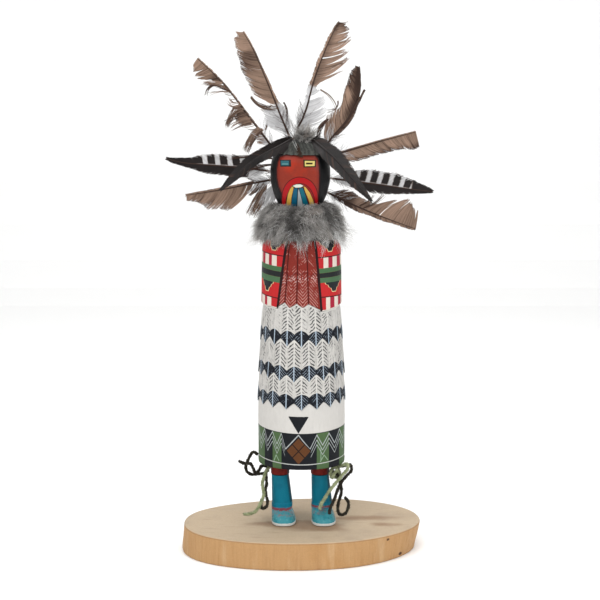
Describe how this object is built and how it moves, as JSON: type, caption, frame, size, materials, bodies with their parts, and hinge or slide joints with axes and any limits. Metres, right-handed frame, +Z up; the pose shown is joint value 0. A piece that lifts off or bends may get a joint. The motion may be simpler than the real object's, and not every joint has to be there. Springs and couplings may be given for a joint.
{
  "type": "kachina doll",
  "caption": "Carved and painted standing doll in a feather-patterned robe, with a fan of feathers and a fur collar, on an oval slice of wood.",
  "frame": {"origin": "centre of the base's underside", "axes": "+Z up through the doll, the doll faces -Y, +X is the viewer's right"},
  "size_m": [0.1892, 0.1105, 0.3738],
  "materials": {
    "base_wood": "satin bare wood",
    "carved_paint": "matt paint over carved root wood",
    "grey_fur": "soft rabbit fur",
    "grey_down": "small soft body feathers",
    "brown_feather": "matt natural feather",
    "barred_feather": "white feather with dark bars",
    "black_feather": "glossy dark feather",
    "green_yarn": "soft wool yarn",
    "dark_yarn": "soft wool yarn"
  },
  "bodies": {
    "root": {"base": "base_wood", "figure": "carved_paint", "fur_ruff": "grey_fur", "fur_crown": "grey_fur", "forehead_feathers": "grey_down", "feather_left_1": "brown_feather", "feather_left_2": "brown_feather", "feather_left_3": "barred_feather", "feather_left_4": "brown_feather", "feather_right_1": "brown_feather", "feather_right_2": "brown_feather", "feather_right_3": "brown_feather", "feather_right_4": "barred_feather", "feather_right_5": "brown_feather", "black_feather_left": "black_feather", "black_feather_right": "black_feather", "yarn_left_1": "green_yarn", "yarn_left_2": "dark_yarn", "yarn_left_3": "dark_yarn", "yarn_left_4": "dark_yarn", "yarn_right_1": "green_yarn", "yarn_right_2": "dark_yarn", "yarn_right_3": "dark_yarn", "yarn_right_4": "green_yarn"}
  },
  "joints": []
}
